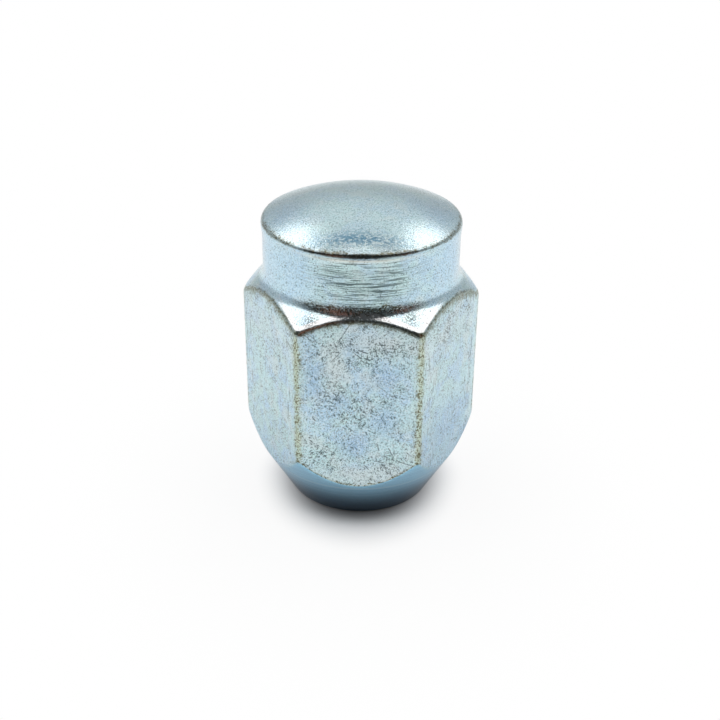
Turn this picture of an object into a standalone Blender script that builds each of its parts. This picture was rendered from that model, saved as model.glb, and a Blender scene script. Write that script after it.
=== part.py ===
"""Closed-end wheel nut, cold forged and tapped: a hexagon body with a cone seat below, a round neck
and a low domed crown above, and a blind stud bore from the base.

The nut stands on its seat ring with its axis along +Z and two of its flats facing -Y and +Y. A turned
blank carries every round form. It is cut to a hexagonal prism, so the arcs at both ends of each flat
come from the cones, as they do on the real nut. A turned cutter makes the bore.
"""

import math

import bmesh
import bpy
from mathutils import Matrix, Vector

# Stud thread, and the plain hole that it is cut in
STUD_DIAMETER = 0.012
THREAD_PITCH = 0.0015
MOUTH_CLEARANCE = 0.00035
MOUTH_HALF_ANGLE = math.radians(45)
BORE_END_RADIUS = 0.0016
CROWN_WALL = 0.0062

# Hexagon body
ACROSS_FLATS = 0.021
CORNER_RADIUS = 0.0009
HEX_LENGTH = 0.02442
SHOULDER_SLOPE = math.radians(45)

# Cone seat, and the flat ring at its small end
SEAT_HALF_ANGLE = math.radians(30)
SEAT_RING_WIDTH = 0.00115
SEAT_EDGE_RADIUS = 0.00025

# Neck and crown
NECK_INSET = 0.00065
NECK_LENGTH = 0.00582
NECK_FOOT_RADIUS = 0.0017
CROWN_EDGE_RADIUS = 0.0006
DOME_HEIGHT = 0.00221

# Number of facets on the round forms
TURNED_STEPS = 96
DOME_STEPS = 8
FILLET_STEPS = 4
CORNER_STEPS = 4

# Sizes that follow from those above
BORE_RADIUS = (STUD_DIAMETER - THREAD_PITCH) / 2
MOUTH_RADIUS = STUD_DIAMETER / 2 + MOUTH_CLEARANCE
SEAT_RADIUS = MOUTH_RADIUS + SEAT_RING_WIDTH
CORNER_REACH = ACROSS_FLATS / 2 / math.cos(math.radians(30))
NECK_RADIUS = ACROSS_FLATS / 2 - NECK_INSET
CROWN_EDGE_HEIGHT = HEX_LENGTH + NECK_LENGTH
OVERALL_HEIGHT = CROWN_EDGE_HEIGHT + DOME_HEIGHT
BORE_DEPTH = OVERALL_HEIGHT - CROWN_WALL

# How far the blank and the cutters run past what they clear
OVERRUN = 0.001

ZINC_COLOUR = (0.60, 0.73, 0.78, 1.0)
ZINC_ROUGHNESS = 0.32
SMOOTH_BELOW = math.radians(20)


def clear_scene():
    for obj in list(bpy.data.objects):
        bpy.data.objects.remove(obj, do_unlink=True)


def new_collection(name):
    collection = bpy.data.collections.new(name)
    bpy.context.scene.collection.children.link(collection)
    return collection


def zinc_plate():
    material = bpy.data.materials.new("blue_zinc_plate")
    material.use_nodes = True
    shader = material.node_tree.nodes["Principled BSDF"]
    shader.inputs["Base Color"].default_value = ZINC_COLOUR
    shader.inputs["Metallic"].default_value = 1.0
    shader.inputs["Roughness"].default_value = ZINC_ROUGHNESS
    return material


def fillet(before, corner, after, radius):
    """Points along the arc that rounds a corner between two straight runs."""
    to_before = (before - corner).normalized()
    to_after = (after - corner).normalized()
    half_angle = to_before.angle(to_after) / 2
    tangent_length = radius / math.tan(half_angle)
    centre = corner + (to_before + to_after).normalized() * (radius / math.sin(half_angle))
    first = (corner + to_before * tangent_length - centre).normalized()
    last = (corner + to_after * tangent_length - centre).normalized()
    steps = [step / FILLET_STEPS for step in range(FILLET_STEPS + 1)]
    return [centre + radius * first.slerp(last, step) for step in steps]


def rounded(outline):
    """The outline's points, with an arc in place of each corner that has a radius."""
    points = []
    for index, (corner, radius) in enumerate(outline):
        if radius:
            points += fillet(outline[index - 1][0], corner, outline[index + 1][0], radius)
        else:
            points.append(corner)
    return points


def blank_outline():
    """Half section of the blank: over the dome, down the neck, shoulder and seat, and across the base."""
    blank_radius = CORNER_REACH + OVERRUN
    shoulder_foot = HEX_LENGTH - (blank_radius - NECK_RADIUS) * math.tan(SHOULDER_SLOPE)
    seat_top = (blank_radius - SEAT_RADIUS) / math.tan(SEAT_HALF_ANGLE)
    dome_radius = (NECK_RADIUS**2 + DOME_HEIGHT**2) / (2 * DOME_HEIGHT)
    dome_angle = math.asin(NECK_RADIUS / dome_radius)
    outline = []
    for step in range(DOME_STEPS):
        angle = dome_angle * step / DOME_STEPS
        drop = dome_radius * (1 - math.cos(angle))
        outline.append((Vector((dome_radius * math.sin(angle), OVERALL_HEIGHT - drop)), 0))
    outline += [
        (Vector((NECK_RADIUS, CROWN_EDGE_HEIGHT)), CROWN_EDGE_RADIUS),
        (Vector((NECK_RADIUS, HEX_LENGTH)), NECK_FOOT_RADIUS),
        (Vector((blank_radius, shoulder_foot)), 0),
        (Vector((blank_radius, seat_top)), 0),
        (Vector((SEAT_RADIUS, 0)), SEAT_EDGE_RADIUS),
        (Vector((0, 0)), 0),
    ]
    return rounded(outline)


def bore_outline():
    """Half section of the bore cutter: its blind end, its wall, and the countersink run past the base."""
    mouth_depth = (MOUTH_RADIUS - BORE_RADIUS) / math.tan(MOUTH_HALF_ANGLE)
    past_mouth = MOUTH_RADIUS + OVERRUN * math.tan(MOUTH_HALF_ANGLE)
    return rounded(
        [
            (Vector((0, BORE_DEPTH)), 0),
            (Vector((BORE_RADIUS, BORE_DEPTH)), BORE_END_RADIUS),
            (Vector((BORE_RADIUS, mouth_depth)), 0),
            (Vector((past_mouth, -OVERRUN)), 0),
            (Vector((0, -OVERRUN)), 0),
        ]
    )


def turned(name, outline, collection):
    """A solid of revolution about Z, from half sections that run down their outer side."""
    mesh = bpy.data.meshes.new(name)
    points = [(point.x, 0, point.y) for point in outline]
    edges = [(index, index + 1) for index in range(len(points) - 1)]
    mesh.from_pydata(points, edges, [])
    obj = bpy.data.objects.new(name, mesh)
    collection.objects.link(obj)
    screw = obj.modifiers.new("turn", "SCREW")
    screw.axis = "Z"
    screw.angle = math.tau
    screw.steps = TURNED_STEPS
    screw.render_steps = TURNED_STEPS
    screw.use_merge_vertices = True
    screw.merge_threshold = 0.00001
    return obj


def hexagon_prism(name, collection):
    """The hexagon, with its upright corners rounded, longer than the nut at both ends."""
    height = OVERALL_HEIGHT + 2 * OVERRUN
    middle = Matrix.Translation((0, 0, OVERALL_HEIGHT / 2))
    flats_to_front = Matrix.Rotation(math.radians(30), 4, "Z")
    bm = bmesh.new()
    bmesh.ops.create_cone(
        bm,
        cap_ends=True,
        segments=6,
        radius1=CORNER_REACH,
        radius2=CORNER_REACH,
        depth=height,
        matrix=middle @ flats_to_front,
    )
    upright = [edge for edge in bm.edges if edge.verts[0].co.xy == edge.verts[1].co.xy]
    bmesh.ops.bevel(
        bm,
        geom=upright,
        offset=CORNER_RADIUS * math.tan(math.radians(30)),
        offset_type="OFFSET",
        segments=CORNER_STEPS,
        profile=0.5,
        affect="EDGES",
    )
    mesh = bpy.data.meshes.new(name)
    bm.to_mesh(mesh)
    bm.free()
    obj = bpy.data.objects.new(name, mesh)
    collection.objects.link(obj)
    return obj


def hide_cutter(obj):
    obj.hide_render = True
    obj.display_type = "WIRE"


def cut(obj, cutter, operation):
    boolean = obj.modifiers.new(cutter.name, "BOOLEAN")
    boolean.operation = operation
    boolean.solver = "EXACT"
    boolean.object = cutter
    hide_cutter(cutter)


def apply_modifiers(obj):
    """Turns what the modifiers make into the object's own mesh, so its sharp edges can be marked."""
    graph = bpy.context.evaluated_depsgraph_get()
    profile = obj.data
    obj.data = bpy.data.meshes.new_from_object(obj.evaluated_get(graph))
    obj.data.name = obj.name
    obj.modifiers.clear()
    bpy.data.meshes.remove(profile)


def main():
    clear_scene()
    parts = new_collection("closed_end_wheel_nut")
    cutters = new_collection("cutters")
    nut = turned("lug_nut", blank_outline(), parts)
    cut(nut, hexagon_prism("wrench_hexagon", cutters), "INTERSECT")
    cut(nut, turned("stud_bore", bore_outline(), cutters), "DIFFERENCE")
    apply_modifiers(nut)
    nut.data.materials.clear()
    nut.data.materials.append(zinc_plate())
    nut.data.shade_smooth()
    nut.data.set_sharp_from_angle(angle=SMOOTH_BELOW)


main()
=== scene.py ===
"""Looks of a closed-end wheel nut: its finely meshed body with the cut thread, its zinc plating, and a
white studio. The nut stands on its seat ring at the origin, with its axis along +Z and a flat facing -Y.
"""

import math

import bmesh
import bpy
import numpy as np
from mathutils import Matrix, Vector, noise


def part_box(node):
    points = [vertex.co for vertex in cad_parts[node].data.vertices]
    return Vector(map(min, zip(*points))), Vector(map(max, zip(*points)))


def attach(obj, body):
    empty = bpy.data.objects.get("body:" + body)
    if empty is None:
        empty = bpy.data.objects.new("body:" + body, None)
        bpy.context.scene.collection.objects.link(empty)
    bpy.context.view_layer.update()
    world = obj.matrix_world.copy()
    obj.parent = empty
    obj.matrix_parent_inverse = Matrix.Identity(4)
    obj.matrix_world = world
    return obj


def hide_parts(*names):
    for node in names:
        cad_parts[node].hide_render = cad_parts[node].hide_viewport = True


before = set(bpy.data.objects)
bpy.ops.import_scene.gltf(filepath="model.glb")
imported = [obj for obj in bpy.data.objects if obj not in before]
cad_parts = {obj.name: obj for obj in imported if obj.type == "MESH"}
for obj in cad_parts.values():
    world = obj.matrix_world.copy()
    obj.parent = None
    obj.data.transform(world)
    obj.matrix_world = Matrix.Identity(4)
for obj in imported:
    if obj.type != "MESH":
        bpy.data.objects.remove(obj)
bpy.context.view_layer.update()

MM = 0.001

# Overall sizes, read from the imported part, in millimetres
LOW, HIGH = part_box("lug_nut")
ACROSS_FLATS = (HIGH.y - LOW.y) / MM
OVERALL_HEIGHT = HIGH.z / MM

# The nut's other sizes, in millimetres and radians, as the part has them
CORNER_RADIUS = 0.9
HEX_LENGTH = 24.42
NECK_INSET = 0.65
DOME_HEIGHT = 2.21
SEAT_RADIUS = 7.5
MOUTH_RADIUS = 6.35
BORE_RADIUS = 5.25
BORE_END_RADIUS = 1.6
CROWN_WALL = 6.2
THREAD_RADIUS = 6.0
THREAD_PITCH = 1.5
THREAD_FLANK = math.radians(30)
SEAT_HALF_ANGLE = math.radians(30)
SHOULDER_SLOPE = math.radians(45)

# The thread's runout, in pitches: how far it starts below the end of the bore's wall, and its length
RUNOUT_START = 2.6
RUNOUT_LENGTH = 2.2

# Roundings, in millimetres: those at a flat's two ends are given at its middle and at a corner
CROWN_EDGE_RADIUS = 0.6
CROWN_LIP = 0.1
CROWN_LIP_LENGTH = 1.3
NECK_FOOT_RADIUS = 1.7
UPPER_ARC_RADII = (0.6, 1.2)
LOWER_ARC_RADII = (0.35, 2.4)
ARC_GROWTH = 1.5
SEAT_EDGE_RADIUS = 0.25

# Unevenness, as waves per millimetre and height in millimetres: all over, and where edges were hit
OVERALL_WAVE = (0.7, 0.006)
EDGE_WAVES = ((1.4, 0.02), (4.0, 0.012))

# What hits took off the edges, and the height up to which the seat stays even, in millimetres
EDGE_LOSS = 0.02
EVEN_BELOW = 0.3

# Rows of faces down each stretch of the body, and columns round it
CORNER_COLUMNS = 8
FLAT_COLUMNS = 40
DOME_ROWS = 34
CROWN_EDGE_ROWS = 10
NECK_ROWS = 38
SHOULDER_ROWS = 34
FLAT_ROWS = 64
LOWER_ARC_ROWS = 5
SEAT_ROWS = 22
SEAT_EDGE_ROWS = 4
SEAT_RING_ROWS = 3
BORE_END_ROWS = 6

# Columns that one point of the dome serves beyond each radius: more of them towards the axis
DOME_SPARING = ((4.5, 1), (2.2, 2), (1.0, 4), (0.0, 8))

# Rings across the bore's end: share of the bore's radius, and columns that one point serves
BORE_END_RINGS = ((0.6, 4), (0.3, 8))

# Least distance of a row of the thread from the wall's ends, and the angle from which an edge is sharp
THREAD_CLEARANCE = 0.03
SHARP_ABOVE = math.radians(40)

# Sizes that follow from those above
BORE_DEPTH = OVERALL_HEIGHT - CROWN_WALL
NECK_RADIUS = ACROSS_FLATS / 2 - NECK_INSET
CORNER_CENTRE = (ACROSS_FLATS / 2 - CORNER_RADIUS) / math.cos(math.radians(30))
CORNER_REACH = CORNER_CENTRE + CORNER_RADIUS
FLAT_HALF_WIDTH = CORNER_CENTRE / 2
DOME_RADIUS = (NECK_RADIUS**2 + DOME_HEIGHT**2) / (2 * DOME_HEIGHT)
DOME_CENTRE = OVERALL_HEIGHT - DOME_RADIUS
FOOT_TOP = HEX_LENGTH + NECK_FOOT_RADIUS * math.tan(SHOULDER_SLOPE / 2)

# Patches on the flats, as centre (x, z) and reach both ways, in millimetres
FRONT_BLUE = (
    ((-4.3, 17.6), (1.0, 2.2)),
    ((-1.0, 20.6), (0.7, 1.2)),
    ((2.6, 18.0), (1.6, 1.6)),
    ((-2.0, 15.2), (1.2, 1.0)),
    ((2.5, 13.0), (1.6, 1.8)),
    ((-0.3, 10.0), (1.5, 1.5)),
)
FRONT_GREY = (
    ((-2.2, 18.6), (1.0, 2.4)),
    ((1.8, 21.6), (3.6, 1.4)),
    ((0.5, 6.6), (4.0, 1.0)),
    ((3.0, 7.0), (1.5, 1.2)),
)
FRONT_PITTED = (
    ((-2.0, 15.0), (2.6, 1.9)),
    ((0.0, 20.6), (5.0, 1.6)),
    ((0.8, 13.6), (2.0, 2.2)),
    ((-3.2, 8.6), (1.2, 1.4)),
    ((3.6, 8.2), (2.2, 1.3)),
)
SIDE_BLUE = ((9.0, 9.5), (2.5, 3.0))
CORNER_BLOT = ((6.0, 8.9), (0.20, 0.32))

# Patches on the neck and the shoulder, as centre (degrees from the front, z) and reach both ways
NECK_SKY_BLUE = (
    ((-66, 27.5), (20, 6.0)),
    ((62, 27.5), (20, 6.0)),
    ((-36, 27.0), (12, 3.0)),
)
# Where the neck is creased, and where painted shade darkens its front
NECK_CREASED_AND_SHADED = ((3, 27.8), (26, 3.4))
SHOULDER_SCRIBBLES = (
    ((-25.4, 23.4), (3.4, 0.5)),
    ((27.4, 23.6), (3.8, 0.5)),
)

# A cream band on the neck, a painted pale reflection under the rim at its front: how far it lies below the
# rim, and its reach both ways
PALE_REFLECTION_DROP = 0.15
PALE_REFLECTION_REACH = (34, 0.2)

# Patches on the dome, as centre (x, y) and reach both ways, in millimetres. The first patch and the band at
# the dome's front edge are a painted dark reflection with painted glints; the other two patches are a blue
# tint.
DOME_BLUE_AND_REFLECTION = (
    # Painted dark reflection at the dome's front edge; the two patches after it are blue tint
    ((0.0, -7.9), (3.6, 0.6)),
    ((-7.2, -2.0), (2.2, 3.0)),
    ((7.3, -1.7), (2.2, 3.0)),
)
# Painted dark reflection with painted glints along the dome's front edge
DOME_REFLECTION_BAND = ((0.1, -7.9), (4.0, 0.8))

# Height and reach of a greyer band on the flats beside the front one, and where their pitting grows
SIDE_GREY = (20.5, 2.2)
SIDE_PITTED = (14, 21)

# How far wear reaches from the hexagon's edges, in millimetres; along the upper arcs the band is partly
# painted shade
CORNER_WEAR = 0.45
UPPER_ARC_WEAR_AND_SHADE = 0.45
UPPER_ARC_WEAR_AND_SHADE_ASIDE = 0.65
LOWER_ARC_WEAR = 0.32

# Bands, by distance and reach in millimetres: above the rim and the foot's top, where wear, a painted dark
# reflection and painted shade lie, and from a corner
RIM_WEAR_AND_REFLECTION = (0.33, 0.27)
FOOT_WEAR_AND_SHADE = (-0.5, 0.5)
STREAKS = (1.4, 1.0)

# Degrees from the front at which a mark, a finish, or a painted shade, reflection or highlight is at 0, and
# at 1
ASIDE = (28, 38)
POLISHED = (58, 34)
LOWER_ARC_WORN = (40, 25)
RIM_PAINTED_REFLECTION = (50, 22)
FOOT_PAINTED_SHADE = (42, 22)
STREAKED = (22, 30)
SIDE_PITS = (95, 78)
NECK_PITS = (100, 70)

# Scratches and nicks of the front flat, and painted glints beside some of them: (x, z) of both ends, and
# width, in millimetres
FRONT_SCRATCHES = (
    ((-0.89, 23.40), (-2.01, 21.45), 0.06),
    ((-1.75, 21.62), (-1.50, 21.10), 0.07),
    ((-2.30, 21.42), (-2.10, 20.95), 0.07),
    ((-1.73, 20.49), (-2.68, 19.40), 0.06),
    ((-0.03, 20.74), (0.83, 20.43), 0.11),
    ((-0.12, 20.20), (0.17, 19.88), 0.12),
    ((0.55, 19.89), (1.02, 19.67), 0.11),
    ((0.74, 19.46), (1.03, 19.25), 0.10),
    ((-0.88, 21.36), (-0.50, 21.37), 0.08),
    ((3.01, 9.81), (3.53, 8.76), 0.07),
    ((2.54, 8.86), (3.92, 9.24), 0.06),
    ((1.92, 10.26), (2.03, 9.56), 0.10),
    ((3.84, 8.41), (4.24, 8.18), 0.08),
    ((4.24, 8.18), (5.24, 7.85), 0.07),
    ((0.66, 7.75), (1.06, 7.28), 0.08),
    ((-5.10, 22.30), (-4.40, 21.50), 0.05),
    ((-4.95, 22.55), (-4.20, 21.85), 0.05),
    ((-3.60, 17.30), (-3.10, 16.10), 0.05),
    ((1.80, 16.90), (2.60, 16.30), 0.05),
    ((-1.20, 12.30), (-0.40, 11.70), 0.06),
)
# Painted highlights beside the scratches
FRONT_PAINTED_GLINTS = (
    ((-0.75, 23.36), (-1.87, 21.41), 0.05),
    ((-1.60, 21.66), (-1.36, 21.10), 0.05),
    ((-2.42, 21.46), (-2.22, 20.93), 0.05),
    ((0.02, 20.56), (0.88, 20.27), 0.05),
    ((3.12, 9.83), (3.64, 8.80), 0.05),
    ((4.20, 8.05), (5.15, 7.73), 0.05),
)

# Short strokes on the flats: degrees up from level, and waves per millimetre along, in depth and across
HATCHING_LEANS = (-28, 48, 98)
HATCHING_WAVES = (3.8, 3.0, 9.0)

# The plating's tints, and the colours of painted shade, reflections and highlights on it
BLUE_ZINC = (0.58, 0.80, 0.96, 1)
CYAN_ZINC = (0.65, 0.88, 0.92, 1)
GREEN_ZINC = (0.66, 0.89, 0.88, 1)
GREY_ZINC = (0.74, 0.84, 0.85, 1)
DEEP_BLUE_ZINC = (0.44, 0.65, 0.88, 1)
SKY_BLUE_ZINC = (0.57, 0.80, 0.98, 1)
# Painted dark reflection for the dome's front edge
PAINTED_DARK_REFLECTION = (0.16, 0.40, 0.56, 1)
# Painted glints in that band
PAINTED_GLINT = (0.80, 0.98, 1.0, 1)
# A pale, near-white painted highlight for the shoulder's front, where it mirrors the light panels
PAINTED_HIGHLIGHT_ZINC = (0.72, 0.77, 0.79, 1)
DULL_GRAIN = (0.27, 0.39, 0.43, 1)
# Bright grains, and the colour of painted glints
BRIGHT_GRAIN_AND_GLINT = (0.82, 0.95, 1.0, 1)
PIT = (0.05, 0.08, 0.08, 1)
DARK_CREASE = (0.07, 0.11, 0.11, 1)
# Painted shade for the neck's front
SHADED_NECK_ZINC = (0.46, 0.62, 0.62, 1)
# Painted pale reflection under the rim
PALE_REFLECTION_ZINC = (0.86, 0.86, 0.78, 1)
BROWN_FLECK = (0.13, 0.12, 0.05, 1)
CONE_BLUE = (0.33, 0.63, 0.84, 1)
CONE_PALE_BLUE = (0.42, 0.75, 0.95, 1)
# Painted shade at the cone's foot
CONE_FOOT_SHADE = (0.10, 0.165, 0.25, 1)
BORE_TINT = (0.50, 0.55, 0.54, 1)

# How the clean plating drifts: tint, offset and waves of its noise, the noise's levels at 0 and 1, share
TINT_DRIFTS = (
    (CYAN_ZINC, 0, 0.42, 0.38, 0.60, 1.0),
    (GREEN_ZINC, 17, 0.50, 0.48, 0.64, 0.7),
    (GREY_ZINC, 43, 0.45, 0.52, 0.66, 0.6),
)

# Tints that a field brings in: the field's name, the tint and its share
TINT_PLACES = (
    ("dome", CYAN_ZINC, 0.5),
    ("blue", DEEP_BLUE_ZINC, 0.85),
    ("sky_blue", SKY_BLUE_ZINC, 0.85),
    ("grey", GREY_ZINC, 0.8),
)

# Worn edges and painted shade: the field's name, the haze's colour and share, and the share of its brown
# flecks. The dark hazes along the upper arcs and at the neck's foot are partly painted shade, and that at the
# rim's front is a painted dark reflection.
EDGE_WEAR_AND_SHADE = (
    ("corner", (0.66, 0.73, 0.50, 1), 0.60, 0.85),
    # Partly painted shade on the rounding under the shoulder
    ("arc_high", (0.26, 0.27, 0.18, 1), 0.60, 0.70),
    ("arc_low", (0.54, 0.55, 0.42, 1), 0.40, 1.00),
    ("rim", (0.32, 0.35, 0.30, 1), 0.50, 0.80),
    # Painted dark reflection at the rim's front
    ("rim_dark_reflection", (0.06, 0.06, 0.05, 1), 0.80, 0.70),
    # Mostly painted shade at the neck's foot, darkest at the front
    ("foot", (0.12, 0.12, 0.10, 1), 0.25, 0.80),
)

# The seat cone, by height in millimetres: a bright turned ring, and where painted shade darkens its foot
CONE_RING = (4.62, 4.78)
CONE_FOOT_SHADE_RISE = (5.6, 0.2)

# Finish: roughness, the share that the grains add to it, and what a height of 1 stands for in metres
TURNED_ROUGHNESS = 0.13
FLAT_ROUGHNESS = 0.32
POLISHED_ROUGHNESS = 0.07
BORE_ROUGHNESS = 0.45
GRAIN_ROUGHNESS = 0.25
BUMP_DEPTH = 0.000016

# The studio's light levels, where 1 is the white background
WHITE = (1, 1, 1, 1)
WALL_LIGHT = (0.50, 0.73)
PANEL_LIGHT = (1.45, 1.65)
DIP_LIGHT = 0.35
OVERHEAD_LIGHT = 1.20
DARK_LIGHT = 0.065
FLOOR_LIGHT = 1.22
PANEL_WHITE = (1.09, 0.98, 0.95, 1)
WARM_BROWN = (4.0, 1.9, 1.4, 1)

# Heights above level at which each of these is at 0, and at 1, in degrees
WALL_RISE = (12, 42)
OVERHEAD_RISE = (67, 73)
PANEL_TOP = (74, 66)
DARK_TOP = (89, 83)

# The dimmer band below the ceiling: its lower and upper edge and their softness, in degrees
DIP = (61, 67.2, 1.8)

# Upright edges of the light panels, as (height, bearing from the front) at their two ends, in degrees
PANEL_FRONT_EDGE = ((30, 70), (62, 24))
PANEL_BACK_EDGE = ((50, 153), (76, 121))

# Brown patches, in degrees: bearings of their sides and softness, and heights at which they are at 0 and 1
BROWN_LEFT = ((-39, -16, 4), (40, 30))
BROWN_RIGHT = ((44, 58, 4), (30, 22))

# The card that the nut stands on
FLOOR_REACH = 3.0
CARD_WHITE = (0.93, 0.93, 0.93, 1)
CARD_SHADE = (0.03, 0.03, 0.03, 1)

# Distances from the nut's axis at which the card's shades and glows are at 0, and at 1, in metres
CONTACT_SHADE = (0.0105, 0.0078)
FRONT_SHADE = (0.05, 0.15)
FAR_SHADE = (0.12, 0.3)
NEAR_GLOW = (0.008, 0.0152)
FAR_GLOW = (0.013, 0.045)

# Camera, from the photograph's perspective, in metres and degrees, and its lens in millimetres
CAMERA_DISTANCE = 0.12547
CAMERA_ELEVATION = 28.52
CAMERA_AZIMUTH = 0.88
CAMERA_ROLL = 0.485
CAMERA_AIM = Vector((-0.00004, 0.0, 0.01401))
CAMERA_CLIP_START = 0.005
CAMERA_LENS = 59.78
CAMERA_SENSOR = 36


def spread(first, last, steps):
    """Evenly spaced values from first to last, both included."""
    return [first + (last - first) * step / steps for step in range(steps + 1)]


def corner_columns(corner):
    """(angle, reach) of the columns across a rounded corner of the hexagon and the flat after it."""
    columns = []
    for turn in spread(-30, 30, CORNER_COLUMNS):
        x = CORNER_CENTRE + CORNER_RADIUS * math.cos(math.radians(turn))
        y = CORNER_RADIUS * math.sin(math.radians(turn))
        columns.append((math.atan2(y, x), math.hypot(x, y)))
    for along in spread(-FLAT_HALF_WIDTH, FLAT_HALF_WIDTH, FLAT_COLUMNS)[1:-1]:
        angle = math.radians(30) + math.atan2(along, ACROSS_FLATS / 2)
        columns.append((angle, math.hypot(along, ACROSS_FLATS / 2)))
    turn = math.radians(60) * corner
    return [(angle + turn, reach) for angle, reach in columns]


def arc_radius(radii, reach):
    """How far an end of the hexagon is rounded, from the middle of a flat to a corner."""
    middle, corner = radii
    share = (reach - ACROSS_FLATS / 2) / (CORNER_REACH - ACROSS_FLATS / 2)
    return middle + (corner - middle) * share**ARC_GROWTH


def shoulder_profile(reach):
    """The curve from the neck's foot, out over the shoulder, to the top of a flat that lies at this reach."""
    foot, edge = NECK_FOOT_RADIUS, arc_radius(UPPER_ARC_RADII, reach)
    slant = (reach - NECK_RADIUS) / math.sin(SHOULDER_SLOPE)
    straight = slant - (foot + edge) * math.tan(SHOULDER_SLOPE / 2)
    slope = SHOULDER_SLOPE
    if straight < 0:
        slope = math.acos(1 - (reach - NECK_RADIUS) / (foot + edge))
        straight = 0
    lengths = [foot * slope, straight, edge * slope]
    points = []
    for along in spread(0, sum(lengths), SHOULDER_ROWS):
        turn = min(along, lengths[0]) / foot
        run = min(max(along - lengths[0], 0), straight)
        back = slope - max(along - lengths[0] - straight, 0) / edge
        r = NECK_RADIUS + foot * (1 - math.cos(turn)) + run * math.sin(slope)
        z = FOOT_TOP - foot * math.sin(turn) - run * math.cos(slope)
        if back < slope:
            r += edge * (math.cos(back) - math.cos(slope))
            z -= edge * (math.sin(slope) - math.sin(back))
        points.append((r, z))
    return points


def crown_edge():
    """Centre and turn of the arc between the dome and the neck, from the neck's side."""
    centre_r = NECK_RADIUS + CROWN_LIP - CROWN_EDGE_RADIUS
    to_dome = DOME_RADIUS - CROWN_EDGE_RADIUS
    turn = math.acos(centre_r / to_dome)
    return centre_r, DOME_CENTRE + to_dome * math.sin(turn), turn


def column_profile(reach):
    """The (r, z) of one column of the body, from the dome's rim down to the mouth of the bore."""
    centre_r, centre_z, rim_turn = crown_edge()
    points = []
    for turn in spread(rim_turn, 0, CROWN_EDGE_ROWS):
        r = centre_r + CROWN_EDGE_RADIUS * math.cos(turn)
        points.append((r, centre_z + CROWN_EDGE_RADIUS * math.sin(turn)))
    shoulder = shoulder_profile(reach)
    for z in spread(centre_z, shoulder[0][1], NECK_ROWS)[1:-1]:
        share = min((centre_z - z) / CROWN_LIP_LENGTH, 1)
        points.append((NECK_RADIUS + CROWN_LIP * (0.5 + 0.5 * math.cos(math.pi * share)), z))
    points += shoulder
    arc = arc_radius(LOWER_ARC_RADII, reach)
    arc_drop = arc * math.tan(SEAT_HALF_ANGLE / 2)
    arc_centre_z = (reach - SEAT_RADIUS) / math.tan(SEAT_HALF_ANGLE) + arc_drop
    points += [(reach, z) for z in spread(shoulder[-1][1], arc_centre_z, FLAT_ROWS)[1:-1]]
    for turn in spread(0, -SEAT_HALF_ANGLE, LOWER_ARC_ROWS):
        r = reach - arc * (1 - math.cos(turn))
        points.append((r, arc_centre_z + arc * math.sin(turn)))
    edge_centre_r = SEAT_RADIUS - SEAT_EDGE_RADIUS * math.tan(SEAT_HALF_ANGLE)
    edge = []
    for turn in spread(-SEAT_HALF_ANGLE, -math.radians(90), SEAT_EDGE_ROWS):
        r = edge_centre_r + SEAT_EDGE_RADIUS * math.cos(turn)
        edge.append((r, SEAT_EDGE_RADIUS * (1 + math.sin(turn))))
    (top_r, top_z), (foot_r, foot_z) = points[-1], edge[0]
    for share in spread(0, 1, SEAT_ROWS)[1:-1]:
        points.append((top_r + (foot_r - top_r) * share, top_z + (foot_z - top_z) * share))
    points += edge
    points += [(r, 0) for r in spread(edge_centre_r, MOUTH_RADIUS, SEAT_RING_ROWS + 1)[1:-1]]
    return points


def thread_rows():
    """(height above the pitch's start, radius) of the rows of points along one turn of the thread."""
    depth = THREAD_RADIUS - BORE_RADIUS
    flank = depth * math.tan(THREAD_FLANK)
    root = THREAD_PITCH / 8
    crest = THREAD_PITCH - root - 2 * flank
    middle = (THREAD_RADIUS + BORE_RADIUS) / 2
    return [
        (0, BORE_RADIUS),
        (crest / 2, BORE_RADIUS),
        (crest, BORE_RADIUS),
        (crest + flank / 2, middle),
        (crest + flank, THREAD_RADIUS),
        (crest + flank + root, THREAD_RADIUS),
        (THREAD_PITCH - flank / 2, middle),
    ]


def thread_column(angle, top):
    """(row, radius, height) of a column of the threaded wall. The thread runs out before the bore's end."""
    runout_start = top - RUNOUT_START * THREAD_PITCH
    depth = THREAD_RADIUS - BORE_RADIUS
    pattern = thread_rows()
    column = []
    for turn in range(-2, int(top / THREAD_PITCH) + 1):
        for index, (rise, radius) in enumerate(pattern):
            z = (turn + angle / math.tau) * THREAD_PITCH + rise
            if not THREAD_CLEARANCE < z < top - THREAD_CLEARANCE:
                continue
            left = min(1, max(0, 1 - (z - runout_start) / (RUNOUT_LENGTH * THREAD_PITCH)))
            radius = min(radius, BORE_RADIUS + depth * left)
            radius = max(radius, MOUTH_RADIUS - z)
            column.append((turn * len(pattern) + index, radius, z))
    return column


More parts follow.
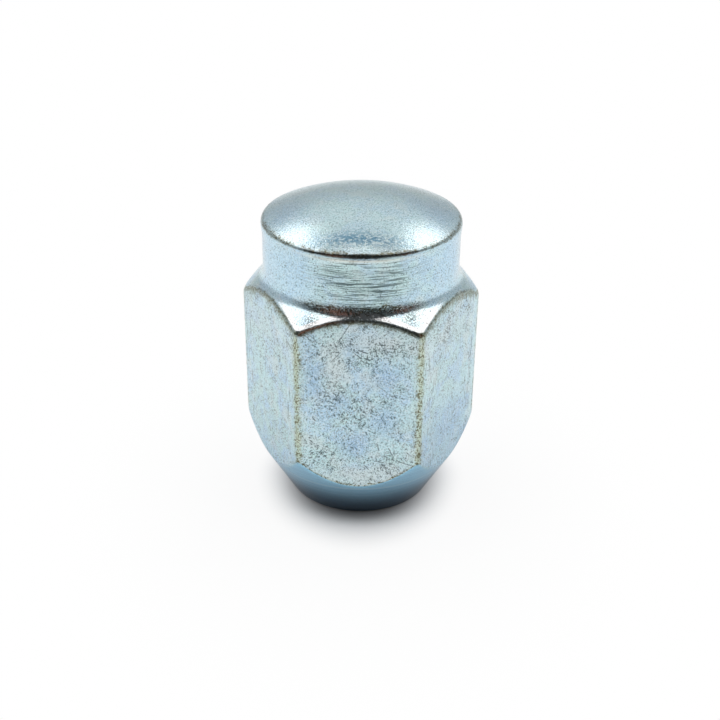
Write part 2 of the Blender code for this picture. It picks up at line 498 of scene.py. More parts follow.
class Shell:
    """Points and faces of a closed mesh, put together ring by ring."""

    def __init__(self):
        self.points = []
        self.faces = []

    def add(self, r, angle, z):
        self.points.append((r * math.cos(angle), r * math.sin(angle), z))
        return len(self.points) - 1

    def ring(self, angles, r, z):
        return [self.add(r, angle, z) for angle in angles]

    def bridge(self, wide, narrow):
        """Faces between two rings, of which the second has as many points, half as many, or one."""
        count = len(wide)
        for index in range(count):
            after = (index + 1) % count
            if len(narrow) == 1:
                self.faces.append((wide[index], wide[after], narrow[0]))
            elif len(narrow) == count:
                self.faces.append((wide[index], wide[after], narrow[after], narrow[index]))
            elif index % 2 == 0:
                half, half_after = index // 2, (index // 2 + 1) % len(narrow)
                last = wide[(index + 2) % count]
                self.faces.append((wide[index], wide[after], narrow[half]))
                self.faces.append((wide[after], last, narrow[half_after], narrow[half]))

    def stitch(self, left, right):
        """Faces between two upright chains of (row, point) that share all rows but a few at their ends."""
        rows = [row for row, _ in right]
        shared = [row for row, _ in left[1:-1] if row in rows]
        at_left = [row for row, _ in left].index(shared[0])
        at_right = rows.index(shared[0])
        left = [point for _, point in left]
        right = [point for _, point in right]
        self.faces.append(tuple(right[: at_right + 1] + left[at_left::-1]))
        for step in range(len(shared) - 1):
            low, high = (at_left + step, at_right + step), (at_left + step + 1, at_right + step + 1)
            self.faces.append((left[low[0]], right[low[1]], right[high[1]], left[high[0]]))
        at_left += len(shared) - 1
        at_right += len(shared) - 1
        self.faces.append(tuple(left[at_left:] + right[: at_right - 1 : -1]))


def add_dome(shell, angles):
    """The dome, from its top down to the row above its rim. Returns that last ring."""
    _, _, rim_turn = crown_edge()
    dome_end = math.radians(90) - rim_turn
    ring = [shell.add(0, 0, OVERALL_HEIGHT)]
    for slope in spread(0, dome_end, DOME_ROWS)[1:-1]:
        r = DOME_RADIUS * math.sin(slope)
        columns = next(columns for radius, columns in DOME_SPARING if r > radius)
        wider = shell.ring(angles[::columns], r, DOME_CENTRE + DOME_RADIUS * math.cos(slope))
        shell.bridge(wider, ring)
        ring = wider
    return ring


def add_thread(shell, angles, mouth, top, wall_top):
    """The threaded wall between the ring at the bore's mouth and the ring at the wall's top."""
    turned = [(angle + math.tau) % math.tau for angle in angles]
    chains = []
    for angle, turn, low, high in zip(angles, turned, mouth, top):
        chain = [(row, shell.add(r, angle, z)) for row, r, z in thread_column(turn, wall_top)]
        chains.append([(-math.inf, low)] + chain + [(math.inf, high)])
    start = turned.index(min(turned))
    for index, chain in enumerate(chains):
        after = (index + 1) % len(chains)
        if after == start:
            rows_per_turn = len(thread_rows())
            chain = [(row + rows_per_turn, point) for row, point in chain]
        shell.stitch(chain, chains[after])


def add_bore_end(shell, angles, ring, wall_top):
    """The bore's blind end: an arc in from the wall, then a flat disc."""
    for turn in spread(0, math.radians(90), BORE_END_ROWS)[1:]:
        r = BORE_RADIUS - BORE_END_RADIUS * (1 - math.cos(turn))
        inner = shell.ring(angles, r, wall_top + BORE_END_RADIUS * math.sin(turn))
        shell.bridge(ring, inner)
        ring = inner
    for share, columns in BORE_END_RINGS:
        inner = shell.ring(angles[:: columns // 2], BORE_RADIUS * share, BORE_DEPTH)
        shell.bridge(ring, inner)
        ring = inner
    shell.bridge(ring, [shell.add(0, 0, BORE_DEPTH)])


def body_shell():
    """The whole nut: dome, outer body, seat ring, threaded bore and its blind end."""
    shell = Shell()
    columns = [column for corner in range(6) for column in corner_columns(corner)]
    angles = [angle for angle, _ in columns]
    profiles = [column_profile(reach) for _, reach in columns]
    ring = add_dome(shell, angles)
    for row in zip(*profiles):
        lower = [shell.add(r, angle, z) for (r, z), angle in zip(row, angles)]
        shell.bridge(lower, ring)
        ring = lower
    bore_angles = angles[::2]
    mouth = shell.ring(bore_angles, MOUTH_RADIUS, 0)
    shell.bridge(ring, mouth)
    wall_top = BORE_DEPTH - BORE_END_RADIUS
    top = shell.ring(bore_angles, BORE_RADIUS, wall_top)
    add_thread(shell, bore_angles, mouth, top, wall_top)
    add_bore_end(shell, bore_angles, top, wall_top)
    return shell


def smooth(value, low, high):
    """0 below low, 1 above high, and a smooth rise between them."""
    share = np.clip((value - low) / (high - low), 0, 1)
    return share * share * (3 - 2 * share)


def hexagon_reach(angle):
    """The rounded hexagon's radius at each angle, from its columns, which start just short of angle 0."""
    columns = [column for corner in range(7) for column in corner_columns(corner)]
    known, reach = zip(*columns)
    margin = math.radians(5)
    return np.interp(np.mod(angle + margin, math.tau) - margin, known, reach)


def band(value, centre, reach):
    """A soft stripe: 1 at its centre and 0 well outside it."""
    return np.exp(-(((value - centre) / reach) ** 2))


def patch(across, up, centre, size):
    """A soft round spot: 1 at its centre and 0 well outside it."""
    return np.exp(-(((across - centre[0]) / size[0]) ** 2) - ((up - centre[1]) / size[1]) ** 2)


def patches(across, up, table):
    return sum(patch(across, up, centre, size) for centre, size in table)


def from_edge(inward):
    """Distance from an edge, counted three times on its outer side."""
    return np.where(inward > 0, inward, -3 * inward)


class Surface:
    """The body's points: where each of them lies, and which of the nut's surfaces it is on."""

    def __init__(self, points):
        self.x, self.y, self.z = points.T
        self.r = np.hypot(self.x, self.y)
        angle = np.arctan2(self.y, self.x)
        corner_turn = np.mod(angle + math.radians(30), math.radians(60)) - math.radians(30)
        self.from_corner = np.abs(self.r * np.sin(corner_turn))
        self.reach = hexagon_reach(angle)
        self.bearing = np.degrees(np.arctan2(self.x, -self.y))
        self.from_front = np.abs(self.bearing)
        self.aside = smooth(self.from_front, *ASIDE)
        self.arc_low = (self.reach - SEAT_RADIUS) / math.tan(SEAT_HALF_ANGLE)
        self.arc_high = HEX_LENGTH - (self.reach - NECK_RADIUS) * math.tan(SHOULDER_SLOPE)
        _, self.rim_z, _ = crown_edge()
        self.on_bore = (self.r < MOUTH_RADIUS + 0.02) & (self.z < BORE_DEPTH + 0.1)
        self.on_flat = (np.abs(self.r - self.reach) < 0.05) & ~self.on_bore & (self.z < HEX_LENGTH)
        self.on_front = self.on_flat & (self.y < -ACROSS_FLATS / 2 + 0.1)
        self.on_sides = self.on_flat & ~self.on_front
        self.on_neck = (self.z > HEX_LENGTH) & (self.z < self.rim_z)
        self.on_dome = self.z > self.rim_z + 0.1
        self.outside = ~self.on_bore & (self.r > self.reach - 0.6)


def form_fields(s):
    """Masks of the nut's surfaces: dome, neck, flats, polished front of the shoulder, seat and bore. The
    shoulder's front also carries a painted highlight.
    """
    shoulder = smooth(s.z, s.arc_high, s.arc_high + 0.3) * smooth(FOOT_TOP - s.z, 0.3, 1.0)
    return {
        "dome": s.on_dome * 1.0,
        "neck": smooth(s.z, FOOT_TOP - 0.6, FOOT_TOP) * (s.z < s.rim_z) * ~s.on_bore,
        "flat": s.on_flat * 1.0,
        # The shoulder's polished front, which also carries a painted highlight
        "shoulder": shoulder * s.outside * smooth(s.from_front, *POLISHED),
        "seat": smooth(s.arc_low - s.z, -0.05 - 0.2 * s.aside, 0.05 + 0.6 * s.aside) * ~s.on_bore,
        "bore": s.on_bore * 1.0,
    }


def edge_fields(s):
    """Masks of what wears, and of painted shade: the hexagon's corners, the arcs of its flats, the rim and
    the neck's foot. The rim's front carries a painted dark reflection, the upper arcs and the neck's foot
    painted shade.
    """
    on_hexagon = (s.z > s.arc_low - 0.5) & (s.z < s.arc_high + 0.2) & ~s.on_bore & (s.r > s.reach - 0.4)
    upper_wear_and_shade = UPPER_ARC_WEAR_AND_SHADE + (UPPER_ARC_WEAR_AND_SHADE_ASIDE - UPPER_ARC_WEAR_AND_SHADE) * s.aside
    lower_share = 0.3 + 0.7 * smooth(s.from_front, *LOWER_ARC_WORN)
    rim = band(s.z - s.rim_z, *RIM_WEAR_AND_REFLECTION) * (s.r > NECK_RADIUS - 0.5)
    # Painted dark reflection: the rim's band turns dark towards the front
    rim_reflection = smooth(s.from_front, *RIM_PAINTED_REFLECTION)
    foot = band(s.z - FOOT_TOP, *FOOT_WEAR_AND_SHADE) * (s.r < NECK_RADIUS + 1.2) * ~s.on_bore
    return {
        "corner": band(s.from_corner, 0, CORNER_WEAR) * on_hexagon,
        # The dark haze along the upper arcs is partly painted shade on the rounding under the shoulder, wider
        # on the side flats
        "arc_high": band(from_edge(s.arc_high - s.z), 0, upper_wear_and_shade) * s.outside,
        "arc_low": band(from_edge(s.z - s.arc_low), 0, LOWER_ARC_WEAR) * s.outside * lower_share,
        # At the sides the rim's band is worn haze, and at the front it is a painted dark reflection
        "rim": rim * (1 - rim_reflection),
        "rim_dark_reflection": rim * rim_reflection,
        # The neck's foot: a faint worn band all round, made much darker at the front by painted shade
        "foot": foot * (0.12 + 0.88 * smooth(s.from_front, *FOOT_PAINTED_SHADE)),
    }


def tint_fields(s):
    """Masks of the places where the plating's tint changes, and of the painted reflections at the dome's
    front edge and under the rim.
    """
    blue = patches(s.x, s.z, FRONT_BLUE) * s.on_front
    blue = blue + 0.7 * patches(s.x, s.y, DOME_BLUE_AND_REFLECTION) * s.on_dome
    blue = blue + 0.9 * patch(s.x, s.z, *SIDE_BLUE) * s.on_sides
    # The side flats turn a deeper, darker blue towards the lower arc
    blue = blue + 0.5 * smooth(s.z - s.arc_low, 2.2, 0.2) * s.on_sides
    sky_blue = patches(s.bearing, s.z, NECK_SKY_BLUE) * (s.z > HEX_LENGTH - 0.5) * ~s.on_bore
    grey = patches(s.x, s.z, FRONT_GREY) * s.on_front
    grey = grey + 0.5 * band(s.z, *SIDE_GREY) * s.on_sides
    pale_reflection_centre = (0, s.rim_z - PALE_REFLECTION_DROP)
    return {
        "blue": np.clip(blue, 0, 1),
        "sky_blue": np.clip(sky_blue, 0, 1) * ~s.on_dome,
        "grey": np.clip(grey, 0, 1),
        # Painted pale reflection under the rim, at the front
        "neck_pale_reflection": patch(s.bearing, s.z, pale_reflection_centre, PALE_REFLECTION_REACH) * s.on_neck,
        # Painted reflection band at the dome's front edge
        "dome_front_reflection": patch(s.x, s.y, *DOME_REFLECTION_BAND) * s.on_dome,
    }


def mark_fields(s):
    """Masks of the pits, scribbles, drawn streaks and creases, and of one blot on a corner. The creases'
    mask also darkens the neck's front with painted shade.
    """
    pitted = patches(s.x, s.z, FRONT_PITTED) * s.on_front
    side_pits = (0.15 + 0.4 * smooth(s.z, *SIDE_PITTED)) * smooth(s.from_front, *SIDE_PITS)
    neck_pits = 0.2 + 0.4 * smooth(s.from_front, *NECK_PITS)
    pitted = pitted + side_pits * s.on_sides + neck_pits * s.on_neck
    on_shoulder = (s.r < s.reach) * (s.z > s.arc_high) * ~s.on_bore
    streaked = np.maximum(band(s.from_corner, *STREAKS), 0.35)
    return {
        "pitted": np.clip(pitted, 0, 1),
        "scribbled": patches(s.bearing, s.z, SHOULDER_SCRIBBLES) * on_shoulder,
        "streaked": streaked * s.on_flat * smooth(s.from_front, *STREAKED),
        "creased_and_shaded": np.clip(1.3 * patch(s.bearing, s.z, *NECK_CREASED_AND_SHADED), 0, 1) * s.on_neck,
        "blot": patch(s.x, s.z, *CORNER_BLOT) * (s.y < -ACROSS_FLATS / 2 + 1.0),
    }


def surface_fields(points):
    """Named masks over the body's points, each from 0 to 1, that the plating is varied by."""
    surface = Surface(points)
    return form_fields(surface) | edge_fields(surface) | tint_fields(surface) | mark_fields(surface)


def worn_edges(points, fields):
    """The points, pushed in and out by hundredths of a millimetre, most where the edges were hit."""
    hit = np.maximum.reduce([fields["corner"], fields["arc_high"], fields["arc_low"]])
    overall_waves, overall_height = OVERALL_WAVE
    push = []
    for point, share in zip(points, hit):
        place = Vector(point)
        rough = sum(noise.noise(place * waves) * height for waves, height in EDGE_WAVES)
        overall = overall_height * noise.noise(place * overall_waves)
        push.append(overall + share * (rough - EDGE_LOSS))
    away = points * (1, 1, 0)
    away = away / np.maximum(np.linalg.norm(away, axis=1), 1)[:, None]
    push = np.array(push) * (1 - fields["bore"]) * (points[:, 2] > EVEN_BELOW)
    return points + away * push[:, None]


def nut_body():
    """The body as an object, with its normals facing out and its masks as attributes of its points."""
    shell = body_shell()
    points = np.array(shell.points)
    fields = surface_fields(points)
    points = worn_edges(points, fields)
    mesh = bpy.data.meshes.new("nut_body")
    mesh.from_pydata([Vector(point) * MM for point in points], [], shell.faces)
    bm = bmesh.new()
    bm.from_mesh(mesh)
    bmesh.ops.recalc_face_normals(bm, faces=bm.faces)
    bm.to_mesh(mesh)
    bm.free()
    for name, values in fields.items():
        attribute = mesh.attributes.new(name, "FLOAT", "POINT")
        attribute.data.foreach_set("value", np.asarray(values, np.float32))
    mesh.shade_smooth()
    mesh.set_sharp_from_angle(angle=SHARP_ABOVE)
    body = bpy.data.objects.new("nut_body", mesh)
    bpy.context.scene.collection.objects.link(body)
    return body


class Graph:
    """Adds shader nodes to a tree and links them, so that a material reads as formulas."""

    def __init__(self, tree):
        self.tree = tree

    def node(self, kind, inputs, **settings):
        node = self.tree.nodes.new("ShaderNode" + kind)
        for name, value in settings.items():
            setattr(node, name, value)
        for key, value in inputs.items():
            self.feed(node.inputs[key], value)
        return node

    def feed(self, socket, value):
        if isinstance(value, bpy.types.NodeSocket):
            self.tree.links.new(value, socket)
        else:
            socket.default_value = value

    def math(self, operation, *values):
        return self.node("Math", dict(enumerate(values)), operation=operation).outputs[0]

    def product(self, *values):
        result = values[0]
        for value in values[1:]:
            result = self.math("MULTIPLY", result, value)
        return result

    def rise(self, value, low, high):
        """0 below low, 1 above high, and a smooth rise between them."""
        inputs = {"Value": value, "From Min": low, "From Max": high}
        return self.node("MapRange", inputs, interpolation_type="SMOOTHSTEP").outputs[0]

    def between(self, value, low, high, soft):
        return self.product(
            self.rise(value, low - soft, low + soft),
            self.rise(value, high + soft, high - soft),
        )

    def line(self, value, start, end):
        """The straight line through two points (value, result), and level past both of them."""
        inputs = {"Value": value}
        inputs["From Min"], inputs["To Min"] = start
        inputs["From Max"], inputs["To Max"] = end
        return self.node("MapRange", inputs).outputs[0]

    def either(self, first, second):
        """The greater of two masks."""
        return self.math("MAXIMUM", first, second)

    def mix(self, share, first, second):
        inputs = {0: share, 6: first, 7: second}
        return self.node("Mix", inputs, data_type="RGBA").outputs[2]

    def blend(self, share, first, second):
        inputs = {0: share, 2: first, 3: second}
        return self.node("Mix", inputs, data_type="FLOAT").outputs[0]

    def scaled(self, vector, scale):
        return self.node("VectorMath", {0: vector, 1: scale}, operation="MULTIPLY").outputs[0]

    def moved(self, vector, offset):
        inputs = {0: vector, 1: (offset, offset, offset)}
        return self.node("VectorMath", inputs, operation="ADD").outputs[0]

    def dot(self, vector, other):
        return self.node("VectorMath", {0: vector, 1: other}, operation="DOT_PRODUCT").outputs["Value"]

    def segment(self, place, start, end, width):
        """1 on the straight line between two points of a plane, falling to 0 at 0.7 of its width away."""
        run = (end[0] - start[0], end[1] - start[1], 0)
        inputs = {0: place, 1: (start[0], start[1], 0)}
        away = self.node("VectorMath", inputs, operation="SUBTRACT").outputs[0]
        share = self.product(self.dot(away, run), 1 / (run[0] ** 2 + run[1] ** 2))
        share = self.node("Clamp", {0: share}).outputs[0]
        along = self.node("VectorMath", {0: run, "Scale": share}, operation="SCALE").outputs[0]
        distance = self.node("VectorMath", {0: away, 1: along}, operation="DISTANCE").outputs["Value"]
        return self.rise(distance, 0.7 * width, 0.2 * width)

    def noise(self, vector, scale, detail=2.0, roughness=0.5):
        inputs = {"Vector": vector, "Scale": scale, "Detail": detail, "Roughness": roughness}
        return self.node("TexNoise", inputs).outputs[0]

    def specks(self, vector, scale, low, high, detail=2.0):
        """Spots of noise: 0 where it is below low, and 1 where it is above high."""
        return self.rise(self.noise(vector, scale, detail), low, high)

    def bearing(self, x, y):
        """Degrees from the front of the point at x, y, positive to the right."""
        return self.math("DEGREES", self.math("ARCTAN2", x, self.math("MULTIPLY", y, -1)))

    def field(self, name):
        return self.node("Attribute", {}, attribute_name=name).outputs["Fac"]


def plain_zinc(graph, place):
    """The clean plating's colour, which drifts between blue, cyan, green and grey over a few millimetres."""
    tint = BLUE_ZINC
    for colour, offset, waves, low, high, share in TINT_DRIFTS:
        drift = graph.specks(graph.moved(place, offset), waves, low, high)
        tint = graph.mix(graph.product(drift, share), tint, colour)
    for name, colour, share in TINT_PLACES:
        tint = graph.mix(graph.product(graph.field(name), share), tint, colour)
    return tint


def grain(graph, place, tint):
    """Dull and bright grains about a tenth of a millimetre across, and the noise that they come from."""
    grains = graph.noise(place, 9.0, 1.0)
    tint = graph.mix(graph.product(graph.rise(grains, 0.46, 0.32), 0.75), tint, DULL_GRAIN)
    tint = graph.mix(graph.product(graph.rise(grains, 0.54, 0.66), 0.75), tint, BRIGHT_GRAIN_AND_GLINT)
    return tint, grains


def painted_dome_reflection(graph, place, tint):
    """Painted reflection at the dome's front edge: a dark blue band that stands for the dim band that the
    dome mirrors there, broken up by painted glints.
    """
    band_noise = graph.noise(graph.scaled(place, (2.8, 4.0, 4.0)), 1.0, 2.0, 0.6)
    here = graph.field("dome_front_reflection")
    tint = graph.mix(graph.product(here, graph.rise(band_noise, 0.53, 0.45), 0.9), tint, PAINTED_DARK_REFLECTION)
    return graph.mix(graph.product(here, graph.rise(band_noise, 0.54, 0.60)), tint, PAINTED_GLINT)


def hatching(graph, place, lean, crowd):
    """Short dark strokes that lean one way: `lean` degrees up from level, as seen on the front flat."""
    turn = math.radians(lean)
    waves_along, waves_deep, waves_across = HATCHING_WAVES
    along = graph.dot(place, (math.cos(turn), 0, math.sin(turn)))
    across = graph.dot(place, (-math.sin(turn), 0, math.cos(turn)))
    depth = graph.dot(place, (0, waves_deep, 0))
    inputs = {0: graph.product(along, waves_along), 1: depth, 2: graph.product(across, waves_across)}
    strokes = graph.noise(graph.node("CombineXYZ", inputs).outputs[0], 1.0, 1.0)
    strokes = graph.rise(graph.math("ADD", strokes, graph.product(crowd, 0.07)), 0.672, 0.715)
    here = graph.specks(graph.moved(place, lean), 0.9, 0.42, 0.52, detail=1.0)
    return graph.product(strokes, here)


def front_strokes(graph, place, strokes):
    """Straight strokes on the front flat, each between two points of a table."""
    x, y, z = graph.node("SeparateXYZ", {0: place}).outputs
    flat_place = graph.node("CombineXYZ", {0: x, 1: z}).outputs[0]
    mask = 0.0
    for start, end, width in strokes:
        mask = graph.either(mask, graph.segment(flat_place, start, end, width))
    front = -ACROSS_FLATS / 2
    return graph.product(mask, graph.rise(y, front + 0.4, front + 0.2))


def pitting(graph, place):
    """Dark dots everywhere, short strokes on the flats, scribbles on the shoulder, and scratches."""
    crowd = graph.noise(graph.moved(place, 71), 0.5)
    crowd = graph.math("ADD", graph.math("MULTIPLY_ADD", crowd, 2.0, -0.9), graph.field("pitted"))
    crowd = graph.node("Clamp", {0: crowd}).outputs[0]
    dots = graph.noise(place, 7.0, 1.0)
    dots = graph.rise(graph.math("ADD", dots, graph.product(crowd, 0.05)), 0.69, 0.73)
    strokes = 0.0
    for lean in HATCHING_LEANS:
        strokes = graph.either(strokes, hatching(graph, place, lean, crowd))
    strokes = graph.product(strokes, graph.field("flat"))
    scribble = graph.product(graph.specks(place, 6.0, 0.47, 0.55, detail=1.0), graph.field("scribbled"))
    scratches = front_strokes(graph, place, FRONT_SCRATCHES)
    return graph.either(graph.either(dots, graph.either(strokes, scribble)), scratches)


def tool_marks(graph, place, tint):
    """Upright streaks beside the corners, bright and dark, where the flats were drawn through their die."""
    streaked = graph.field("streaked")
    chatter = graph.specks(graph.scaled(place, (6.0, 6.0, 1.1)), 1.0, 0.46, 0.62)
    tint = graph.mix(graph.product(chatter, streaked, 0.45), tint, BRIGHT_GRAIN_AND_GLINT)
    scored = graph.specks(graph.scaled(place, (7.0, 7.0, 0.5)), 1.0, 0.62, 0.70, detail=1.0)
    return graph.mix(graph.product(scored, streaked, 0.65), tint, PIT)


def creases(graph, place, tint):
    """The neck's front, darkened by painted shade, with its fine level creases, the painted pale reflection
    under the rim, and the height that the creases press into the neck."""
    lying = graph.noise(graph.scaled(place, (0.45, 0.45, 10.0)), 1.0, 1.0)
    creased_and_shaded = graph.field("creased_and_shaded")
    lines = graph.rise(lying, 0.50, 0.38)
    # Painted shade: the neck's front is darkened and greyed
    tint = graph.mix(graph.product(creased_and_shaded, 0.35), tint, SHADED_NECK_ZINC)
    tint = graph.mix(graph.product(lines, creased_and_shaded, 0.85), tint, DARK_CREASE)
    # Painted pale reflection under the rim, at the front
    tint = graph.mix(graph.product(graph.field("neck_pale_reflection"), 0.7), tint, PALE_REFLECTION_ZINC)
    depth = graph.product(lying, graph.field("neck"), graph.blend(creased_and_shaded, 0.2, 0.9))
    return tint, depth


def wear(graph, place, tint):
    """Hazed edges with brown flecks, each after its own row of the table, and the blot on a corner. Some
    hazes
    are painted: shade along the upper arcs and at the neck's foot, and a dark reflection at the rim's front.
    """
    fleck = graph.noise(place, 5.2, 2.0, 0.6)
    patchy = graph.math("MULTIPLY_ADD", graph.noise(place, 1.5, 3.0, 0.6), 2.9, -1.45)
    brown = graph.rise(fleck, 0.49, 0.56)
    for name, haze, haze_share, fleck_share in EDGE_WEAR_AND_SHADE:
        edge = graph.field(name)
        ragged = graph.rise(graph.math("ADD", edge, patchy), 0.25, 0.85)
        hazed = graph.product(edge, graph.blend(ragged, 0.4, 1.0), haze_share)
        tint = graph.mix(hazed, tint, haze)
        flecked = graph.product(ragged, brown, graph.rise(edge, 0.1, 0.5), fleck_share)
        tint = graph.mix(flecked, tint, BROWN_FLECK)
    return graph.mix(graph.product(graph.field("blot"), 0.85), tint, BROWN_FLECK)


def seat_tint(graph, place):
    """The turned cone: a deeper blue, with faint rings, and painted shade that darkens it towards its foot.
    """
    z = graph.dot(place, (0, 0, 1))
    rings = graph.noise(graph.node("CombineXYZ", {2: z}).outputs[0], 4.0, 3.0, 0.6)
    cone = graph.mix(graph.rise(rings, 0.4, 0.62), CONE_BLUE, CONE_PALE_BLUE)
    cone = graph.mix(graph.product(graph.between(z, *CONE_RING, 0.05), 0.4), cone, BRIGHT_GRAIN_AND_GLINT)
    # Painted shade: darker towards the foot, where the cone mirrors the shadowed floor
    return graph.mix(graph.rise(z, *CONE_FOOT_SHADE_RISE), cone, CONE_FOOT_SHADE)


def plating_roughness(graph, grains):
    """Turned surfaces shine more than the flats, and the shoulder's front and the neck's foot the most."""
    roughness = graph.blend(graph.field("flat"), TURNED_ROUGHNESS, FLAT_ROUGHNESS)
    polished = graph.either(graph.field("shoulder"), graph.field("foot"))
    roughness = graph.blend(polished, roughness, POLISHED_ROUGHNESS)
    uneven = graph.product(graph.math("SUBTRACT", grains, 0.5), GRAIN_ROUGHNESS)
    return graph.blend(graph.field("bore"), graph.math("ADD", roughness, uneven), BORE_ROUGHNESS)


def plating_height(graph, place, grains, pits, crease_depth):
    """Orange peel, pits, creases and grains, and a rougher lie where reflections end in ragged edges."""
    peel = graph.noise(place, 5.0, 3.0, 0.6)
    height = graph.math("SUBTRACT", peel, graph.product(pits, 0.8))
    height = graph.math("ADD", height, crease_depth)
    height = graph.product(height, graph.blend(graph.field("seat"), 1.0, 0.35))
    height = graph.product(height, graph.blend(graph.field("dome"), 1.0, 0.75))
    height = graph.math("ADD", height, graph.product(grains, graph.blend(graph.field("dome"), 0.2, 0.6)))
    ragged = graph.math("MULTIPLY_ADD", graph.field("foot"), 3.5, graph.field("rim_dark_reflection"))
    return graph.math("ADD", height, graph.product(graph.noise(place, 4.0, 2.0, 0.6), ragged))


def zinc_plate():
    """Blue-bright zinc on forged steel: drifting tints, pits, tool marks and worn, yellowed edges, with
    painted shade, reflections and highlights.
    """
    material = bpy.data.materials.new("zinc_plate")
    material.use_nodes = True
    tree = material.node_tree
    shader = tree.nodes["Principled BSDF"]
    graph = Graph(tree)
    place = graph.node("TexCoord", {}).outputs["Object"]
    place = graph.scaled(place, (1 / MM, 1 / MM, 1 / MM))

    tint, grains = grain(graph, place, plain_zinc(graph, place))
    # Painted dark reflection and painted glints at the dome's front edge
    tint = painted_dome_reflection(graph, place, tint)
    # Painted highlight: the shoulder's front is paled to near-white
    tint = graph.mix(graph.product(graph.field("shoulder"), 0.85), tint, PAINTED_HIGHLIGHT_ZINC)
    pits = pitting(graph, place)
    tint = graph.mix(graph.product(pits, 0.8), tint, PIT)
    # Painted highlights beside some scratches
    glints = front_strokes(graph, place, FRONT_PAINTED_GLINTS)
    tint = graph.mix(graph.product(glints, 0.9), tint, BRIGHT_GRAIN_AND_GLINT)
    tint = tool_marks(graph, place, tint)
    tint, crease_depth = creases(graph, place, tint)
    # Worn edges, with painted shade along the upper arcs and at the neck's foot, and a painted dark
    # reflection at the rim's front
    tint = wear(graph, place, tint)
    tint = graph.mix(graph.product(graph.field("seat"), 0.93), tint, seat_tint(graph, place))
    # The bore is darker and duller than the outside
    tint = graph.mix(graph.product(graph.field("bore"), 0.6), tint, BORE_TINT)
    height = plating_height(graph, place, grains, pits, crease_depth)
    bump = graph.node("Bump", {"Strength": 1.0, "Distance": BUMP_DEPTH, "Height": height})

    graph.feed(shader.inputs["Base Color"], tint)
    graph.feed(shader.inputs["Roughness"], plating_roughness(graph, grains))
    graph.feed(shader.inputs["Normal"], bump.outputs[0])
    shader.inputs["Metallic"].default_value = 1.0
    return material


def light_panels(graph, height, side, front_edge):
    """Where the two light panels are: one on each side, from about 30 to 70 degrees up, from beside the
    camera's dark to short of the middle of the wall behind."""
    azimuth = graph.math("ABSOLUTE", side)
    back_edge = graph.line(height, *PANEL_BACK_EDGE)
    back_edge = graph.math("MULTIPLY_ADD", graph.rise(side, 100, 140), 2.0, back_edge)
    above = graph.math("SUBTRACT", height, graph.product(graph.rise(azimuth, 120, 150), 5.0))
    below = graph.math("SUBTRACT", height, graph.product(graph.rise(azimuth, 100, 125), 6.0))
    return graph.product(
        graph.rise(above, 29.5, graph.blend(graph.rise(azimuth, 60, 110), 41, 35)),
        graph.rise(below, *PANEL_TOP),
        graph.rise(graph.math("SUBTRACT", azimuth, front_edge), -4, 4),
        graph.rise(graph.math("SUBTRACT", back_edge, azimuth), -6, 3),
    )


def brown_patches(graph, height, side):
    """Two low brown things in front of the nut, left and right, that its polished shoulder mirrors."""
    patches = []
    for bearings, heights in (BROWN_LEFT, BROWN_RIGHT):
        patches.append(graph.product(graph.between(side, *bearings), graph.rise(height, *heights)))
    return graph.either(*patches)


def studio_sky():
    """A white room with light panels, a bright ceiling with a dimmer band below it, and dark behind the
    camera. The metal alone sees the panels' warmth and the brown, and the floor gets a little more light."""
    world = bpy.data.worlds.new("studio")
    bpy.context.scene.world = world
    world.use_nodes = True
    tree = world.node_tree
    graph = Graph(tree)
    direction = graph.node("TexCoord", {}).outputs["Generated"]
    x, y, z = graph.node("SeparateXYZ", {0: direction}).outputs
    height = graph.math("DEGREES", graph.math("ARCSINE", z))
    side = graph.bearing(x, y)
    azimuth = graph.math("ABSOLUTE", side)
    front_edge = graph.line(height, *PANEL_FRONT_EDGE)

    light = graph.blend(graph.rise(height, *WALL_RISE), *WALL_LIGHT)
    light = graph.blend(graph.between(height, *DIP), light, DIP_LIGHT)
    overhead = graph.rise(height, *OVERHEAD_RISE)
    light = graph.blend(overhead, light, OVERHEAD_LIGHT)
    panel = light_panels(graph, height, side, front_edge)
    light = graph.blend(panel, light, graph.blend(graph.rise(azimuth, 65, 115), *PANEL_LIGHT))
    softness = graph.blend(graph.rise(height, 22, 42), 17.0, 5.0)
    inside = graph.math("DIVIDE", graph.math("SUBTRACT", front_edge, azimuth), softness)
    dark = graph.product(graph.rise(inside, -1, 1), graph.rise(height, *DARK_TOP))
    light = graph.blend(dark, light, DARK_LIGHT)

    ray = graph.node("LightPath", {}).outputs
    light = graph.product(light, graph.blend(ray["Is Diffuse Ray"], 1.0, FLOOR_LIGHT))
    light = graph.blend(ray["Is Camera Ray"], light, 1.0)
    warm = graph.product(graph.either(panel, overhead), ray["Is Glossy Ray"])
    colour = graph.mix(warm, WHITE, PANEL_WHITE)
    brown = graph.product(brown_patches(graph, height, side), ray["Is Glossy Ray"])
    colour = graph.mix(brown, colour, WARM_BROWN)
    graph.feed(tree.nodes["Background"].inputs["Color"], colour)
    graph.feed(tree.nodes["Background"].inputs["Strength"], light)


def card_shade(graph, distance, front):
    """How dark the card is: under the nut's foot, and further out where only the metal mirrors it."""
    shade = graph.product(graph.rise(distance, *FRONT_SHADE), front, 0.85)
    shade = graph.either(shade, graph.product(graph.rise(distance, *FAR_SHADE), 0.25))
    contact = graph.product(graph.rise(distance, *CONTACT_SHADE), graph.blend(front, 0.20, 0.54))
    return graph.either(shade, contact)


def card_glow(graph, distance, front):
    """How far the card is lost in the white background, growing from the nut outwards."""
    outwards = graph.product(distance, graph.blend(front, 1.3, 1.0))
    glow = graph.product(graph.rise(outwards, *NEAR_GLOW), 0.90)
    return graph.math("MULTIPLY_ADD", graph.rise(outwards, *FAR_GLOW), 0.10, glow)


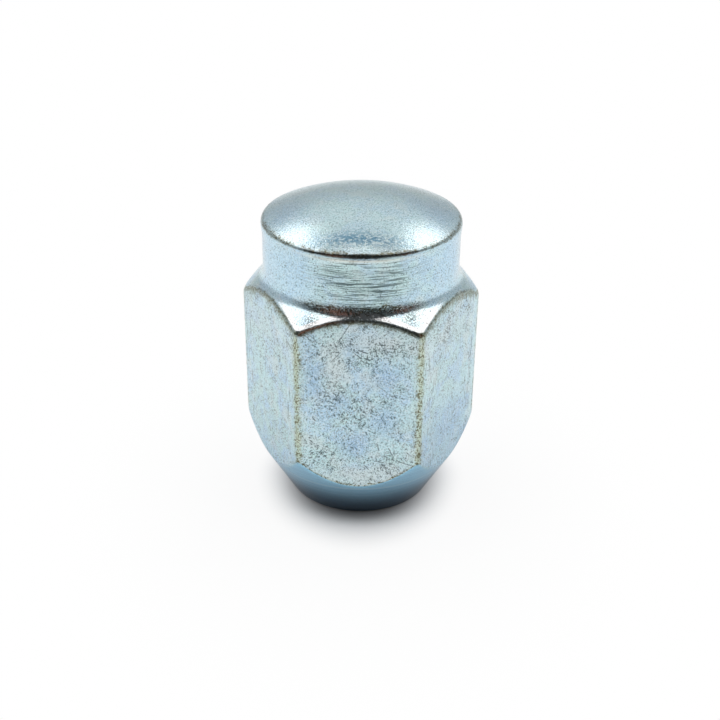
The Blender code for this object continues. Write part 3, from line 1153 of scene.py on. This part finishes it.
def white_card():
    """The card's material, by distance from the nut's axis in metres and by how far in front it lies."""
    material = bpy.data.materials.new("white_card")
    material.use_nodes = True
    nodes = material.node_tree.nodes
    shader = nodes["Principled BSDF"]
    graph = Graph(material.node_tree)
    place = graph.node("TexCoord", {}).outputs["Object"]
    x, y, _ = graph.node("SeparateXYZ", {0: place}).outputs
    squares = graph.math("ADD", graph.math("MULTIPLY", x, x), graph.math("MULTIPLY", y, y))
    distance = graph.math("SQRT", squares)
    front = graph.rise(graph.math("ABSOLUTE", graph.bearing(x, y)), 82, 0)
    shade = card_shade(graph, distance, front)
    graph.feed(shader.inputs["Base Color"], graph.mix(shade, CARD_WHITE, CARD_SHADE))
    shader.inputs["Roughness"].default_value = 0.9
    shader.inputs["Specular IOR Level"].default_value = 0.0
    white = graph.node("Emission", {"Color": WHITE, "Strength": 1.0}).outputs[0]
    seen = graph.node("LightPath", {}).outputs["Is Camera Ray"]
    lost = graph.product(seen, card_glow(graph, distance, front))
    mixed = graph.node("MixShader", {0: lost, 1: shader.outputs[0], 2: white}).outputs[0]
    graph.feed(nodes["Material Output"].inputs["Surface"], mixed)
    return material


def studio_floor():
    """The white card that the nut stands on, which is part of the studio and not of the nut."""
    mesh = bpy.data.meshes.new("floor")
    bm = bmesh.new()
    bmesh.ops.create_grid(bm, x_segments=1, y_segments=1, size=FLOOR_REACH)
    bm.to_mesh(mesh)
    bm.free()
    mesh.materials.append(white_card())
    floor = bpy.data.objects.new("floor", mesh)
    bpy.context.scene.collection.objects.link(floor)


def camera():
    """The photograph's camera, which looks down at the nut's front."""
    data = bpy.data.cameras.new("camera")
    data.lens = CAMERA_LENS
    data.sensor_width = CAMERA_SENSOR
    data.clip_start = CAMERA_CLIP_START
    obj = bpy.data.objects.new("camera", data)
    bpy.context.scene.collection.objects.link(obj)
    elevation, azimuth = math.radians(CAMERA_ELEVATION), math.radians(CAMERA_AZIMUTH)
    away = Vector((math.sin(azimuth), -math.cos(azimuth), math.tan(elevation))).normalized()
    turn = away.to_track_quat("Z", "Y").to_matrix() @ Matrix.Rotation(math.radians(CAMERA_ROLL), 3, "Z")
    obj.matrix_world = Matrix.Translation(CAMERA_AIM + away * CAMERA_DISTANCE) @ turn.to_4x4()
    bpy.context.scene.camera = obj


body = nut_body()
body.data.materials.append(zinc_plate())
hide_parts("lug_nut")
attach(body, "root")
studio_floor()
studio_sky()
camera()
bpy.context.scene.view_settings.view_transform = "Standard"
